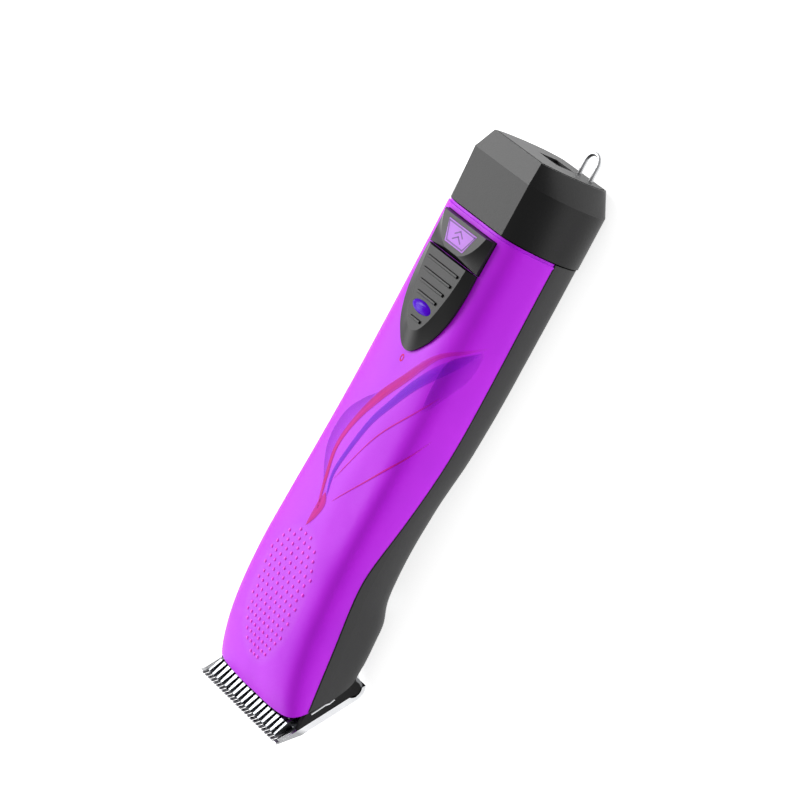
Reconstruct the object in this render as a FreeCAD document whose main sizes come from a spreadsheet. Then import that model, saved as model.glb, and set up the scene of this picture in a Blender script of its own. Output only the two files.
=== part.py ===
import FreeCAD, Part
import math
import os
import re

# Cordless pet clipper with a detachable 44.5 mm wide blade set.
# Frame: +X towards the battery, +Z up (switch side), blade tips at -X, Z = 0 is the table.

# ---------------------------------------------------------------- driving dimensions
SIZES = {
    # shells
    "wall": 1.8,
    "loft_sections": 35,
    "seam_gap": 0.12,
    "rear_end": 61.3,
    "lip_depth": 0.45,
    "lip_step": 0.8,
    "nick_x": -47.8,
    "nick_width": 0.9,
    "nick_top": 2.6,
    # blade frame: origin at the tooth tips, local X towards the heel, local Z to the housing
    "tip_x": -92.0,
    "tip_z": 20.114,
    "blade_angle": 38.6,
    "face_z": 2.6,
    # hinge, local
    "pivot_x": 26.9,
    "pivot_z": 0.6,
    "heel_r": 3.8,
    "heel_t": 1.2,
    "heel_in": 9.2,
    "heel_out": 18.9,
    "heel_side_out": 22.1,
    "heel_top": 1.4,
    "heel_side_top": -1.05,
    "pin_r": 1.25,
    "pin_half": 7.6,
    "knuckle_r": 2.3,
    "knuckle_half": 4.0,
    "ear_r": 2.3,
    "ear_in": 4.1,
    "ear_out": 7.4,
    "ear_top": 6.6,
    "plate_front": 22.6,
    "plate_rear": 30.0,
    "plate_half": 9.0,
    "plate_t": 1.2,
    "tongue_front": 17.4,
    "tongue_half": 6.4,
    "tongue_low": 0.15,
    "tongue_t": 1.2,
    # comb, local
    "comb_half": 22.25,
    "comb_front": 0.0,
    "comb_rear": 26.9,
    "comb_top": -1.0,
    "comb_t": 2.2,
    "comb_bevel": 8.0,
    "comb_teeth": 26,
    "comb_pitch": 1.65,
    "comb_slot_root": 7.2,
    "comb_slot_tip_w": 1.02,
    "comb_slot_root_w": 0.62,
    # cutter, local
    "cutter_half": 19.4,
    "cutter_front": 1.7,
    "cutter_rear": 17.0,
    "cutter_t": 1.9,
    "cutter_teeth": 17,
    "cutter_pitch": 2.4,
    "cutter_slot_root": 7.6,
    "cutter_slot_tip_w": 1.75,
    "cutter_slot_root_w": 0.8,
    "cutter_gap": 0.03,
    "lug_front": 12.4,
    "lug_top": 3.7,
    "lug_out": 5.2,
    "notch_half": 2.1,
    # blade fittings, local
    "guide_front": 17.15,
    "guide_rear": 19.6,
    "guide_half": 15.0,
    "guide_top": 0.85,
    "spring_t": 0.5,
    "finger_in": 8.6,
    "finger_out": 11.6,
    "finger_front": 13.0,
    "socket_front": 19.8,
    "socket_rear": 24.2,
    "socket_half": 7.6,
    "socket_wing": 15.6,
    "socket_top": 2.15,
    "blade_screw_x": 22.2,
    "blade_screw_y": 11.4,
    "blade_screw_r": 1.1,
    "blade_head_r": 2.1,
    "blade_head_t": 1.0,
    # face frame, local
    "rail_front": 7.4,
    "rail_slope": 11.5,
    "rail_top": 2.55,
    "rail_in": 20.75,
    "rail_out": 22.3,
    "rail_low": -0.85,
    "rim_in": 18.6,
    "rim_out": 20.6,
    "rim_top": 5.2,
    "rim_front": 12.5,
    "barrel_r": 2.2,
    "barrel_out": 22.0,
    "wire_r": 0.32,
    "wire_y": 22.75,
    # drive
    "motor_z": 14.8,
    "motor_front": -31.0,
    "motor_rear": -1.5,
    "motor_r": 10.0,
    "motor_flat": 7.7,
    "motor_wall": 0.9,
    "bell_t": 3.0,
    "shaft_r": 1.0,
    "shaft_front": -36.6,
    "rotor_r": 6.4,
    "crank_r": 3.3,
    "crank_front": -37.2,
    "crank_rear": -34.2,
    "crank_throw": 0.55,
    "crank_pin_r": 1.2,
    "crank_pin_front": -41.0,
    "bearing_r": 2.5,
    "bearing_front": -40.7,
    "bearing_rear": -37.5,
    "lever_x": -52.0,
    "lever_low": 13.3,
    "lever_t": 3.0,
    "lever_hub_r": 4.2,
    "lever_bush_r": 2.6,
    "lever_pin_r": 1.5,
    "fork_in": 3.75,
    "fork_out": 5.4,
    "fork_rear": -38.0,
    "fork_root": -43.0,
    "arm_half": 1.9,
    "tip_front": 14.8,
    "tip_rear": 17.2,
    "tip_half": 1.98,
    "tip_low": 1.7,
    "tip_top": 5.4,
    # mechanism frame
    "frame_front": -61.5,
    "frame_half": 9.0,
    "frame_floor": 7.6,
    "frame_roof": 20.0,
    "frame_t": 1.6,
    # blade latch button
    "latch_x": -56.0,
    "latch_long": 8.0,
    "latch_wide": 13.0,
    "latch_low": 2.0,
    "latch_flange": 4.0,
    "latch_top": 4.9,
    # switch and release button
    "slope": 0.0217,
    "surface_z": 28.05,
    "surface_x": 40.0,
    "pad_raise": 2.1,
    "edge_raise": 0.5,
    "slider_clear": 0.14,
    "slot_front": 34.4,
    "slot_rear": 45.6,
    "slot_half": 2.6,
    "stem_front": 40.4,
    "stem_rear": 44.4,
    "stem_half": 2.0,
    "stem_low": 24.2,
    "rib_r": 0.5,
    "lens_x": 32.6,
    "lens_long": 4.6,
    "lens_wide": 1.75,
    "release_front": 48.75,
    "release_rear": 59.0,
    "release_front_w": 12.3,
    "release_rear_w": 12.6,
    "release_clear": 0.22,
    "flange_low": 24.75,
    "flange_top": 25.4,
    "seat_low": 22.78,
    "seat_t": 0.3,
    "release_spring_y": 7.0,
    "ring_r": 1.9,
    "ring_wire_r": 0.16,
    # electronics
    "board_front": 14.0,
    "board_rear": 46.4,
    "board_half": 10.0,
    "board_low": 22.9,
    "board_t": 0.8,
    # battery
    "stick_front": 11.0,
    "stick_rear": 63.2,
    "stick_z": 12.8,
    "stick_r": 9.8,
    "stick_wall": 0.5,
    "cell_r": 9.2,
    "cell_y": 9.3,
    "cell_front": 12.2,
    "cell_length": 65.0,
    "cap_front": 61.7,
    "cap_pocket": 78.4,
    "plate_inset": 0.8,
    "end_plate_t": 1.7,
    "end_x": 84.0,
    "socket_y": 0.0,
    "socket_z": 12.4,
    "jack_r": 2.9,
    "loop_y": -5.2,
    "loop_z": 5.4,
    "loop_half": 2.9,
    "loop_wire_r": 0.65,
    "loop_end": 92.0,
    # contacts
    "contact_block_front": 7.6,
    "contact_block_rear": 9.8,
    "contact_block_half": 6.0,
    # screws
    "lead_r": 0.35,
    "lead_y": 6.42,
    "screw_r": 1.2,
    "screw_head_r": 2.5,
    "screw_head_t": 1.3,
    "boss_r": 3.7,
    "rear_screw_x": 6.4,
    "rear_screw_y": 10.6,
    "rear_screw_seat": 2.6,
    "front_screw_x": -45.4,
    "front_screw_y": 14.2,
    "front_screw_seat": 5.0,
}

# Cross-sections of the body along X: top height, half-width of the flat top, shoulder point,
# widest point, lower side point, and the half-width and height of the base.
SECTION_FIELDS = ("x", "top", "flat", "sw", "sz", "mw", "mz", "lw", "lz", "bw", "bz")
SECTIONS = {
    "rear": (61.3, 28.5, 12.6, 17.8, 25.4, 22.0, 13.7, 19.4, 4.8, 14.6, 0.15),
    "bay": (42.0, 28.1, 12.6, 17.8, 25.0, 21.9, 13.4, 19.5, 4.6, 14.8, 0.2),
    "island": (20.0, 27.6, 12.8, 18.0, 24.6, 21.7, 13.2, 19.5, 4.7, 15.2, 0.3),
    "grip": (2.0, 27.2, 11.2, 18.2, 24.4, 21.5, 13.4, 19.3, 5.2, 15.0, 0.8),
    "waist": (-16.0, 27.2, 10.4, 18.4, 24.6, 21.4, 14.6, 18.8, 6.6, 13.6, 2.2),
    "palm": (-32.0, 27.5, 11.0, 18.7, 24.9, 21.7, 15.9, 19.2, 7.5, 13.8, 3.1),
    "notch": (-44.0, 27.6, 13.3, 19.0, 25.0, 22.2, 16.2, 20.2, 7.6, 15.0, 3.0),
    "chin": (-50.0, 27.3, 13.4, 19.2, 24.8, 22.6, 15.5, 21.3, 6.4, 17.6, 1.9),
    "jaw": (-60.0, 26.5, 13.6, 19.5, 24.0, 23.0, 14.6, 22.0, 5.6, 18.6, 1.8),
    "cheek": (-70.0, 24.9, 14.0, 19.9, 22.3, 23.2, 13.2, 22.4, 5.6, 19.0, 1.9),
    "brow": (-78.0, 22.6, 14.4, 20.3, 19.9, 23.2, 11.9, 22.5, 5.5, 19.2, 2.0),
    "visor": (-84.0, 19.9, 14.8, 20.6, 17.3, 23.1, 10.7, 22.4, 5.3, 19.4, 1.9),
    "nose": (-91.0, 15.2, 15.0, 20.6, 12.9, 22.9, 9.0, 22.0, 5.0, 19.2, 1.8),
}

# The S-shaped line where the upper and lower shells meet, seen from the side.
SEAM = {
    "seam_a": (-96.0, 12.0),
    "seam_b": (-81.0, 14.7),
    "seam_c": (-70.0, 16.3),
    "seam_d": (-59.5, 17.6),
    "seam_e": (-48.0, 18.9),
    "seam_f": (-41.0, 19.1),
    "seam_g": (-35.0, 18.4),
    "seam_h": (-26.0, 16.6),
    "seam_i": (-15.0, 14.6),
    "seam_j": (1.0, 12.9),
    "seam_k": (18.0, 12.8),
    "seam_l": (34.0, 13.2),
    "seam_m": (66.0, 13.8),
}

# Cross-sections of the battery cap: ridge half-width and height, four side points, base.
CAP_FIELDS = ("x", "top", "rw", "aw", "az", "cw", "cz", "dw", "dz", "ew", "ez", "fw", "fz",
              "bw", "bz")
CAP_SECTIONS = {
    "cap_a": (61.7, 28.5, 13.3, 18.1, 24.6, 21.1, 18.9, 22.0, 13.2, 20.7, 7.0, 17.8, 2.4,
              14.6, -0.15),
    "cap_b": (77.5, 29.2, 14.1, 18.0, 24.9, 20.5, 19.2, 21.2, 12.8, 19.9, 6.6, 17.3, 2.2,
              14.2, -0.15),
    "cap_c": (84.0, 27.3, 12.2, 14.1, 23.4, 15.1, 18.2, 15.4, 12.4, 14.6, 6.8, 13.0, 3.2,
              10.8, 1.2),
}

# Half outlines of the switch slider at its foot and of its raised pad: (x, half-width).
SLIDER_FOOT = ((48.45, 12.3), (44.0, 12.35), (38.5, 12.0), (34.0, 11.3), (30.0, 10.0),
               (26.0, 7.9), (22.8, 5.1), (20.7, 2.5), (20.0, 0.0))
SLIDER_PAD = ((48.3, 9.4), (44.0, 8.9), (39.0, 7.9), (35.0, 6.8), (31.5, 5.6),
              (28.8, 4.3), (27.0, 2.9), (26.1, 1.5), (25.8, 0.0))
RIBS = ((45.4, 7.7), (42.0, 6.9), (38.8, 5.8), (35.7, 4.7), (28.9, 2.4))

doc = FreeCAD.newDocument("pet_clipper")
sheet = doc.addObject("Spreadsheet::Sheet", "Sizes")
values = {}


def put(alias, value):
    row = len(values) + 1
    sheet.set("A%d" % row, alias)
    sheet.set("B%d" % row, str(value))
    sheet.setAlias("B%d" % row, alias)
    values[alias] = value


for alias, value in SIZES.items():
    put(alias, value)
for prefix, numbers in SECTIONS.items():
    for field, value in zip(SECTION_FIELDS, numbers):
        put(prefix + "_" + field, value)
for prefix, numbers in CAP_SECTIONS.items():
    for field, value in zip(CAP_FIELDS, numbers):
        put(prefix + "_" + field, value)
for prefix, (x, z) in SEAM.items():
    put(prefix + "_x", x)
    put(prefix + "_z", z)
for i, (x, w) in enumerate(SLIDER_FOOT):
    put("foot_%d_x" % i, x)
    put("foot_%d_w" % i, w)
for i, (x, w) in enumerate(SLIDER_PAD):
    put("pad_%d_x" % i, x)
    put("pad_%d_w" % i, w)
for i, (x, w) in enumerate(RIBS):
    put("rib_%d_x" % i, x)
    put("rib_%d_w" % i, w)
doc.recompute()

Y_AXIS = FreeCAD.Vector(0, 1, 0)
nodes = []


# ---------------------------------------------------------------- helpers
def size(alias):
    return float(sheet.get(alias))


def bind(obj, prop, text):
    words = re.sub(r"[a-z][a-z0-9_]*", lambda m: "Sizes." + m[0] if m[0] in values else m[0],
                   str(text))
    obj.setExpression(prop, words)


def value_of(text):
    return float(sum_terms(str(text)))


def sum_terms(text):
    """The sum of signed numbers and aliases such as "pivot_x - 2.6"."""
    total = 0.0
    for sign, term in re.findall(r"([+-]?)\s*([a-z_0-9.]+)", text):
        number = size(term) if term in values else float(term)
        total += -number if sign == "-" else number
    return total


def put_at(obj, x, y, z):
    bind(obj, "Placement.Base.x", x)
    bind(obj, "Placement.Base.y", y)
    bind(obj, "Placement.Base.z", z)


def turn(obj, axis, angle):
    obj.Placement = FreeCAD.Placement(obj.Placement.Base,
                                      FreeCAD.Rotation(FreeCAD.Vector(*axis), angle))


def box(name, x0, x1, y0, y1, z0, z1):
    obj = doc.addObject("Part::Box", name)
    bind(obj, "Length", "(%s) - (%s)" % (x1, x0))
    bind(obj, "Width", "(%s) - (%s)" % (y1, y0))
    bind(obj, "Height", "(%s) - (%s)" % (z1, z0))
    put_at(obj, x0, y0, z0)
    return obj


def slab(name, x0, x1, half, z0, z1):
    return box(name, x0, x1, "-(%s)" % half, half, z0, z1)


AXES = {"x": ((0, 1, 0), 90), "y": ((1, 0, 0), -90), "z": ((0, 0, 1), 0)}


def rod(name, direction, radius, length, x, y, z):
    obj = doc.addObject("Part::Cylinder", name)
    turn(obj, *AXES[direction])
    bind(obj, "Radius", radius)
    bind(obj, "Height", length)
    put_at(obj, x, y, z)
    return obj


def cut(name, base, tool):
    obj = doc.addObject("Part::Cut", name)
    obj.Base = base
    obj.Tool = tool
    return obj


def common(name, base, tool):
    obj = doc.addObject("Part::Common", name)
    obj.Base = base
    obj.Tool = tool
    return obj


def fuse(name, parts):
    obj = doc.addObject("Part::MultiFuse", name)
    obj.Shapes = parts
    return obj


def group(name, parts):
    obj = doc.addObject("Part::Compound", name)
    obj.Links = parts
    return obj


def shape(name, solid):
    obj = doc.addObject("Part::Feature", name)
    placement = solid.Placement
    obj.Shape = solid
    obj.Placement = placement
    return obj


def node(obj, label):
    obj.Label = label
    nodes.append(obj)
    return obj


def on_blade(obj):
    turn(obj, (0, 1, 0), 0)
    obj.Placement = FreeCAD.Placement(
        FreeCAD.Vector(size("tip_x"), 0, size("tip_z")),
        FreeCAD.Rotation(Y_AXIS, size("blade_angle")))
    put_at(obj, "tip_x", "0", "tip_z")
    bind(obj, "Placement.Rotation.Angle", "blade_angle")
    return obj


def vec(x, y, z):
    return FreeCAD.Vector(x, y, z)


def spline(points, closed=False):
    curve = Part.BSplineCurve()
    curve.interpolate(points, PeriodicFlag=closed)
    return curve.toShape()


def prism_xz(points, half):
    corners = [vec(x, -half, z) for x, z in points]
    face = Part.Face(Part.makePolygon(corners + corners[:1]))
    return face.extrude(vec(0, 2 * half, 0))


def blade_point(x, z):
    angle = math.radians(size("blade_angle"))
    return (size("tip_x") + x * math.cos(angle) + z * math.sin(angle),
            size("tip_z") - x * math.sin(angle) + z * math.cos(angle))


def island_z(x):
    return size("surface_z") + size("slope") * (x - size("surface_x"))


# ---------------------------------------------------------------- body forms
def monotone(xs, ys, x):
    """Cubic through the stations that never overshoots between two of them."""
    steps = [b - a for a, b in zip(xs, xs[1:])]
    rises = [(b - a) / s for a, b, s in zip(ys, ys[1:], steps)]
    slopes = [rises[0]]
    for i in range(1, len(xs) - 1):
        if rises[i - 1] * rises[i] <= 0:
            slopes.append(0.0)
        else:
            slopes.append(2 * rises[i - 1] * rises[i] / (rises[i - 1] + rises[i]))
    slopes.append(rises[-1])
    i = 0
    while i < len(xs) - 2 and x > xs[i + 1]:
        i += 1
    t = (x - xs[i]) / steps[i]
    hold, swing = (1 + 2 * t) * (1 - t) ** 2, t * (1 - t) ** 2
    return (hold * ys[i] + swing * steps[i] * slopes[i] + (1 - hold) * ys[i + 1]
            - t * t * (1 - t) * steps[i] * slopes[i + 1])


STATIONS = sorted(SECTIONS, key=lambda prefix: size(prefix + "_x"))
STATION_X = [size(prefix + "_x") for prefix in STATIONS]


def section_at(x):
    return {field: monotone(STATION_X, [size(p + "_" + field) for p in STATIONS], x)
            for field in SECTION_FIELDS[1:]}


def body_wire(x, inset):
    g = section_at(min(max(x, STATION_X[0]), STATION_X[-1]))
    d = inset
    half = [
        (0.5 * g["flat"], g["top"] - 0.04 - d),
        (g["flat"], g["top"] - 0.55 - d),
        (g["sw"] - 0.75 * d, g["sz"] - 0.7 * d),
        (0.5 * (g["sw"] + g["mw"]) + 0.7 - d, 0.5 * (g["sz"] + g["mz"])),
        (g["mw"] - d, g["mz"]),
        (0.5 * (g["mw"] + g["lw"]) + 0.5 - d, 0.5 * (g["mz"] + g["lz"])),
        (g["lw"] - 0.9 * d, g["lz"] + 0.3 * d),
        (g["bw"] - 0.3 * d, g["bz"] + 0.5 + d),
        (0.5 * g["bw"], g["bz"] + d),
    ]
    right = [vec(x, -y, z) for y, z in half]
    left = [vec(x, y, z) for y, z in reversed(half)]
    top = vec(x, 0, g["top"] - d)
    base = vec(x, 0, g["bz"] + d)
    curve = Part.BSplineCurve()
    curve.interpolate([top] + right + [base] + left, PeriodicFlag=True)
    knots = curve.getKnots()
    breaks = [knots[0], knots[5], knots[10], knots[15], knots[20]]
    return Part.Wire([curve.toShape(a, b) for a, b in zip(breaks, breaks[1:])])


def body_form(inset, overrun):
    """The outside (or, with an inset, the inside) of the two shells together."""
    first, last = STATION_X[0] - overrun, STATION_X[-1] + overrun
    count = int(size("loft_sections"))
    wires = [body_wire(first + (last - first) * i / (count - 1), inset) for i in range(count)]
    return Part.makeLoft(wires, True, False)


def head_cut():
    a = blade_point(-12.0, size("face_z"))
    b = blade_point(27.6, size("face_z"))
    c = blade_point(31.6, 5.0)
    d = (-60.8, 1.2)
    points = [a, b, c, d, (-60.6, -8.0), (-125.0, -8.0), (-125.0, a[1])]
    return prism_xz(points, 40.0)


def above_seam(offset):
    points = [vec(size(p + "_x"), -40, size(p + "_z") + offset) for p in SEAM]
    edge = spline(points)
    first, last = points[0], points[-1]
    rim = [last, vec(last.x, -40, 60), vec(first.x, -40, 60), first]
    wire = Part.Wire([edge] + Part.makePolygon(rim).Edges)
    return Part.Face(wire).extrude(vec(0, 80, 0))


outer_form = shape("outer_form", body_form(0.0, 0.0))
inner_form = shape("inner_form", body_form(size("wall"), 3.0))
head_tool = shape("head_tool", head_cut())
upper_zone = shape("upper_zone", above_seam(0.0))
lower_zone = shape("lower_zone", above_seam(-size("seam_gap")))


def screw_rows(prefix, label, builder):
    made = []
    for side in ("", "-"):
        made.append(builder(label + ("_left" if side else "_right"), prefix,
                            prefix + "_x", "%s%s_y" % (side, prefix)))
    return made


def boss(label, prefix, x, y):
    return rod(label, "z", "boss_r", "40", x, y, "-5")


def seat_hole(label, prefix, x, y):
    return rod(label, "z", "screw_head_r + 0.25", "5 + %s_seat" % prefix, x, y, "-5")


def shaft_hole(label, prefix, x, y):
    return rod(label, "z", "screw_r + 0.05", "25.6", x, y, "-2.0")


def screw(label, prefix, x, y):
    head = rod(label + "_head", "z", "screw_head_r", "screw_head_t", x, y,
               "%s_seat - screw_head_t" % prefix)
    shank = rod(label + "_shank", "z", "screw_r", "16", x, y, "%s_seat" % prefix)
    return fuse(label, [head, shank])


# Screw bosses fill the inside of both shells around each screw.
bosses = []
holes = []
screws = []
for prefix in ("rear_screw", "front_screw"):
    bosses += screw_rows(prefix, prefix + "_boss", boss)
    holes += screw_rows(prefix, prefix + "_seat_hole", seat_hole)
    holes += screw_rows(prefix, prefix + "_shaft_hole", shaft_hole)
    screws += screw_rows(prefix, prefix, screw)

boss_group = fuse("boss_group", bosses)
hollow = cut("hollow", inner_form, boss_group)
shell_raw = cut("shell_raw", outer_form, hollow)
shell_open = cut("shell_open", shell_raw, head_tool)

# ---------------------------------------------------------------- upper housing
slot = slab("switch_slot", "slot_front", "slot_rear", "slot_half", "18", "40")
lens_window = slab("lens_window", "lens_x - 2.6", "lens_x + 0.6", "2.2", "24.6", "40")
lip = slab("lip_step_tool", "rear_end - lip_step", "rear_end + 1", "40", "-10", "60")


def release_outline(clear, z):
    front = size("release_front") - clear
    rear = size("release_rear") + clear
    fw = size("release_front_w") + clear
    rw = size("release_rear_w") + clear
    return Part.makePolygon([vec(front, -fw, z), vec(rear, -rw, z), vec(rear, rw, z),
                             vec(front, fw, z), vec(front, -fw, z)])


def release_prism(clear, z0, z1):
    return Part.Face(release_outline(clear, z0)).extrude(vec(0, 0, z1 - z0))


release_opening = shape("release_opening", release_prism(size("release_clear"), 24.0, 40.0))
lip_band_form = shape("lip_band_form", body_form(size("lip_depth"), 3.0))
lip_ring = cut("lip_ring", lip, lip_band_form)
upper_blank = common("upper_blank", shell_open, upper_zone)
upper_tools = fuse("upper_tools", [slot, lens_window, release_opening, lip_ring]
                   + [h for h in holes if "shaft" in h.Name])
node(cut("upper_housing_body", upper_blank, upper_tools), "upper_housing")

# ---------------------------------------------------------------- lower housing
latch_opening = box("latch_opening", "latch_x - latch_long / 2 - 0.25",
                    "latch_x + latch_long / 2 + 0.25", "-latch_wide / 2 - 0.25",
                    "latch_wide / 2 + 0.25", "-5", "8")
nick = slab("finger_nick", "nick_x", "nick_x + nick_width", "30", "-5", "nick_top")
lower_tools = fuse("lower_tools", [lower_zone, latch_opening, nick] + holes)
lower_shell = cut("lower_housing_body", shell_open, lower_tools)
node(lower_shell, "lower_housing")
node(group("housing_screw_set", screws), "housing_screws")

# ---------------------------------------------------------------- switch slider
def half_outline(prefix, count, raise_by):
    side = []
    for i in range(count):
        x = size("%s_%d_x" % (prefix, i))
        w = size("%s_%d_w" % (prefix, i))
        side.append((x, w))
    right = [vec(x, -w, island_z(x) + raise_by) for x, w in side]
    left = [vec(x, w, island_z(x) + raise_by) for x, w in reversed(side[:-1])]
    around = spline(right + left)
    back = Part.makeLine(left[-1], right[0])
    return Part.Wire([around, back])


count = len(SLIDER_FOOT)
low_wire = half_outline("foot", count, -4.0)
edge_wire = half_outline("foot", count, size("edge_raise"))
pad_wire = half_outline("pad", count, size("pad_raise"))
slider_foot = shape("slider_foot", Part.makeLoft([low_wire, edge_wire], True, True))
slider_cap = shape("slider_cap", Part.makeLoft([edge_wire, pad_wire], True, True))
raised_form = shape("raised_form", body_form(0.0, 0.0).translated(
    vec(0, 0, size("slider_clear"))))
slider_block = fuse("slider_block", [slider_foot, slider_cap])
slider_trim = cut("slider_trim", slider_block, raised_form)
stem = slab("slider_stem", "stem_front", "stem_rear", "stem_half", "stem_low", "29.0")
ribs = []
for i in range(len(RIBS)):
    x, w = "rib_%d_x" % i, "rib_%d_w" % i
    z = "surface_z + pad_raise + slope * (%s - surface_x) + 0.02" % x
    ribs.append(rod("slider_rib_%d" % i, "y", "rib_r", "2 * %s" % w, x, "-%s" % w, z))
slider_full = fuse("slider_full", [slider_trim, stem] + ribs)


def lens_solid(grow, z0, z1):
    long, wide = size("lens_long") + grow, size("lens_wide") + grow
    ring = Part.Ellipse(vec(0, 0, 0), long, wide).toShape()
    face = Part.Face(Part.Wire([ring]))
    face.rotate(vec(0, 0, 0), vec(0, 0, 1), 90)
    face.translate(vec(size("lens_x"), 0, z0))
    return face.extrude(vec(0, 0, z1 - z0))


def lens_dome():
    top = island_z(size("lens_x")) + size("pad_raise")
    ball = Part.makeSphere(1.0)
    stretch = FreeCAD.Matrix()
    stretch.A11 = size("lens_wide") * 1.15
    stretch.A22 = size("lens_long") * 1.12
    stretch.A33 = 1.6
    dome = ball.transformGeometry(stretch)
    dome.translate(vec(size("lens_x"), 0, top - 0.75))
    return dome.common(lens_solid(0.0, top - 1.6, top + 2.0))


lens_pocket = shape("lens_pocket", lens_solid(0.03, 28.2, 34.0))
node(cut("slider_body", slider_full, lens_pocket), "switch_slider")
node(shape("lens_body", lens_dome()), "led_lens")

# ---------------------------------------------------------------- battery release button
def release_pad_wire(raise_by):
    side = [(58.8, 10.9), (57.0, 10.2), (54.6, 8.9), (52.2, 6.9), (50.6, 4.6), (50.0, 2.6)]
    right = [vec(x, -w, island_z(x) + raise_by) for x, w in side]
    left = [vec(x, w, island_z(x) + raise_by) for x, w in side]
    return Part.Wire([spline(right), Part.makeLine(right[-1], left[-1]),
                      spline(list(reversed(left))), Part.makeLine(left[0], right[0])])


def release_edge_wire(raise_by):
    points = []
    for x, w in (("release_rear", "release_rear_w"), ("release_front", "release_front_w")):
        points.append((size(x), size(w)))
    (rx, rw), (fx, fw) = points
    a = vec(rx, -rw, island_z(rx) + raise_by)
    b = vec(fx, -fw, island_z(fx) + raise_by)
    c = vec(fx, fw, island_z(fx) + raise_by)
    d = vec(rx, rw, island_z(rx) + raise_by)
    return Part.Wire([Part.makeLine(a, b), Part.makeLine(b, c), Part.makeLine(c, d),
                      Part.makeLine(d, a)])


release_top = shape("release_top", Part.makeLoft(
    [release_edge_wire(size("edge_raise")), release_pad_wire(size("pad_raise"))], True, True))
release_trunk = shape("release_trunk", Part.makeLoft(
    [release_edge_wire(-2.6), release_edge_wire(size("edge_raise"))], True, True))
release_flange = slab("release_flange", "release_front - 0.6", "release_rear + 0.2", "12.4",
                      "flange_low", "flange_top")
release_core = slab("release_core", "release_front + 0.4", "release_rear - 0.4", "11.6",
                    "flange_top", "27.4")
release_full = fuse("release_full", [release_top, release_trunk, release_flange, release_core])


def label_solid(grow, low, high):
    base = [(57.6 + grow, 7.2 + grow), (51.5 - grow, 4.6 + grow)]
    corners = [vec(x, -w, island_z(x) + low) for x, w in base]
    corners += [vec(x, w, island_z(x) + low) for x, w in reversed(base)]
    face = Part.Face(Part.makePolygon(corners + corners[:1]))
    return face.extrude(vec(0, 0, high - low))


pad = size("pad_raise")
label_pocket = shape("label_pocket", label_solid(0.08, pad - 0.3, pad + 3.0))
node(cut("release_body", release_full, label_pocket), "release_button")
node(shape("label_body", label_solid(0.0, pad - 0.3, pad + 0.05)), "release_label")


def coil(radius, wire, height, turns):
    helix = Part.makeHelix(height / turns, height, radius)
    profile = Part.Wire([Part.makeCircle(wire, vec(radius, 0, 0), vec(0, 1, 0))])
    return Part.Wire(helix.Edges).makePipeShell([profile], True, True)


def release_spring(y):
    """A stack of four spring rings between the seat and the button's flange."""
    wire = size("ring_wire_r")
    low = size("seat_low") + size("seat_t") + wire + 0.01
    high = size("flange_low") - wire - 0.01
    rings = [Part.makeTorus(size("ring_r"), wire, vec(54.0, y, low + (high - low) * i / 3),
                            vec(0, 0, 1)) for i in range(4)]
    return Part.makeCompound(rings)


node(shape("release_spring_pair", Part.makeCompound(
    [release_spring(-size("release_spring_y")), release_spring(size("release_spring_y"))])),
    "release_springs")
node(slab("release_seat_plate", "47.6", "60.4", "12.0", "seat_low", "seat_low + seat_t"),
     "release_spring_seat")

# ---------------------------------------------------------------- electronics
node(slab("board", "board_front", "board_rear", "board_half", "board_low",
          "board_low + board_t"), "circuit_board")
switch_block = slab("switch_block", "33.4", "46.2", "5.2", "board_low + board_t", "25.5")
switch_channel = slab("switch_channel", "35.4", "45.4", "2.4", "24.0", "30")
node(cut("switch_case", switch_block, switch_channel), "power_switch")
led_body = rod("led_stand", "z", "1.4", "0.9", "31.4", "0", "board_low + board_t")
node(led_body, "status_led")
chip_a = slab("chip_a", "17.0", "23.0", "3.0", "board_low + board_t", "board_low + board_t + 1")
chip_b = box("chip_b", "25.0", "28.6", "4.4", "8.0", "board_low + board_t",
             "board_low + board_t + 0.9")
node(group("chip_set", [chip_a, chip_b]), "board_components")
block = box("contact_block_solid", "contact_block_front", "contact_block_rear",
            "-contact_block_half", "contact_block_half", "5.0", "21.0")
node(block, "contact_block")
pads_out = []
for i, (y, z) in enumerate(((-3.6, 12.8), (0.0, 12.8), (3.6, 12.8))):
    pads_out.append(box("spring_contact_%d" % i, "contact_block_rear", "stick_front - 0.05",
                        y - 0.7, y + 0.7, z - 3.0, z + 3.0))
node(group("body_contact_set", pads_out), "body_contacts")

# ---------------------------------------------------------------- battery pack
def stadium(radius, x0, x1):
    y, z = size("cell_y"), size("stick_z")
    left = Part.makeCylinder(radius, x1 - x0, vec(x0, -y, z), vec(1, 0, 0))
    right = Part.makeCylinder(radius, x1 - x0, vec(x0, y, z), vec(1, 0, 0))
    middle = Part.makeBox(x1 - x0, 2 * y, 2 * radius, vec(x0, -y, z - radius))
    return left.fuse([right, middle]).removeSplitter()


def cap_wire(prefix, inset, shift):
    g = {field: size(prefix + "_" + field) for field in CAP_FIELDS}
    x = g["x"] + shift
    d = inset
    side = [(g["rw"] - 0.6 * d, g["top"] - d), (g["aw"] - d, g["az"] - 0.4 * d),
            (g["cw"] - d, g["cz"]), (g["dw"] - d, g["dz"]), (g["ew"] - d, g["ez"]),
            (g["fw"] - d, g["fz"] + 0.5 * d), (g["bw"] - 0.6 * d, g["bz"] + d)]
    right = [vec(x, -y, z) for y, z in side]
    left = [vec(x, y, z) for y, z in reversed(side)]
    return Part.Wire([Part.makeLine(left[-1], right[0]), spline(right),
                      Part.makeLine(right[-1], left[0]), spline(left)])


def cap_form():
    first = Part.makeLoft([cap_wire("cap_a", 0, 0), cap_wire("cap_b", 0, 0)], True, True)
    second = Part.makeLoft([cap_wire("cap_b", 0, 0), cap_wire("cap_c", 0, 0)], True, True)
    return first.fuse(second)


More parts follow.
